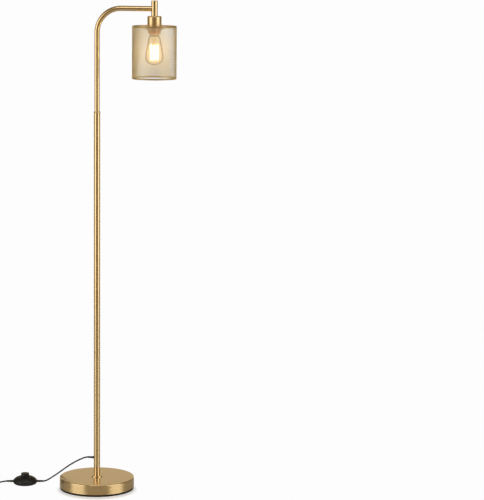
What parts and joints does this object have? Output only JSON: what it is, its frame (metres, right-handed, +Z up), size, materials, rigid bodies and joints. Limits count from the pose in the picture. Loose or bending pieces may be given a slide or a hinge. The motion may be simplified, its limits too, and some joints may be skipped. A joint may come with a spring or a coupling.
{
  "type": "wire cage floor lamp",
  "caption": "Floor lamp: round weighted base, straight pole, swivelling gooseneck arm, cylindrical mesh shade round a bare bulb, and a lead with a foot switch.",
  "frame": {"origin": "middle of the base's underside, on the pole's axis", "axes": "+Z up the pole, +X from the pole towards the arm's end and the shade, -X towards the lead and the foot switch"},
  "size_m": [0.7169, 0.25, 1.6398],
  "materials": {
    "satin_gold": "satin brushed gold plating on steel",
    "mesh_gold": "gold plated expanded steel mesh",
    "pad_black": "matt black rubber pad",
    "cast_iron": "rough cast iron",
    "plated_steel": "zinc plated steel",
    "lead_black": "matt black PVC sheath",
    "switch_black": "fine grained black plastic",
    "holder_plastic": "moulded phenolic plastic",
    "ceramic": "white glazed ceramic",
    "contact_brass": "bare brass",
    "bulb_base_nickel": "nickel plated",
    "amber_glass": "clear amber glass",
    "clear_glass": "clear glass",
    "filament": "bright coated filament",
    "insulator_black": "black vitrite"
  },
  "bodies": {
    "stand": {"base_cover": "satin_gold", "pole_foot_flange": "satin_gold", "pole_length_1": "satin_gold", "pole_length_2": "satin_gold", "pole_length_3": "satin_gold", "swivel_bush": "satin_gold", "base_pad": "pad_black", "base_weight": "cast_iron", "base_lock_washer": "plated_steel", "base_lock_nut": "plated_steel", "base_threaded_rod": "plated_steel", "pole_foot_insert": "plated_steel", "pole_socket_1": "plated_steel", "pole_socket_2": "plated_steel", "pole_stud_1": "plated_steel", "pole_stud_2": "plated_steel", "switch_spring": "plated_steel", "switch_screws": "plated_steel", "lead_in_pole": "lead_black", "lead_to_switch": "lead_black", "lead_to_coil": "lead_black", "lead_coil": "lead_black", "cord_exit_bushing": "lead_black", "switch_strain_reliefs": "lead_black", "plug_strain_relief": "lead_black", "plug_body": "lead_black", "switch_base": "switch_black", "switch_cover": "switch_black", "switch_contact_block": "ceramic", "plug_blades": "contact_brass"},
    "arm": {"arm_spigot": "plated_steel", "swivel_spring_washer": "plated_steel", "swivel_lock_nut": "plated_steel", "gooseneck_arm": "satin_gold", "stem_tube": "satin_gold", "stem_cap": "satin_gold", "stem_insert": "plated_steel", "cup_threaded_rod": "plated_steel", "cup_lock_nut": "plated_steel", "socket_cup": "satin_gold", "lampholder_cap": "holder_plastic", "lampholder_skirt": "holder_plastic", "lampholder_ring_nut": "holder_plastic", "lampholder_core": "ceramic", "lampholder_screw_shell": "contact_brass", "lampholder_centre_contact": "contact_brass", "lampholder_terminal_screws": "contact_brass", "shade_mesh": "mesh_gold", "shade_top_ring": "mesh_gold", "shade_bottom_ring": "mesh_gold", "shade_spider": "mesh_gold", "bulb_glass": "amber_glass", "bulb_screw_base": "bulb_base_nickel", "bulb_insulator": "insulator_black", "bulb_centre_tip": "contact_brass", "bulb_glass_stem": "clear_glass", "bulb_filaments": "filament", "lead_in_arm": "lead_black"},
    "foot_button": {"switch_button": "switch_black"}
  },
  "joints": [
    {"name": "arm_swivel", "type": "hinge", "parent": "stand", "child": "arm", "pos_m": [0, 0, 1.2685], "axis": [0, 0, 1], "range_deg": [-170, 170]},
    {"name": "foot_button_press", "type": "slide", "parent": "stand", "child": "foot_button", "axis": [0, 0, -1], "range_m": [0, 0.003], "stiffness_N_per_m": 1500, "springref_m": -0.002, "deforming": ["switch_spring"]}
  ]
}
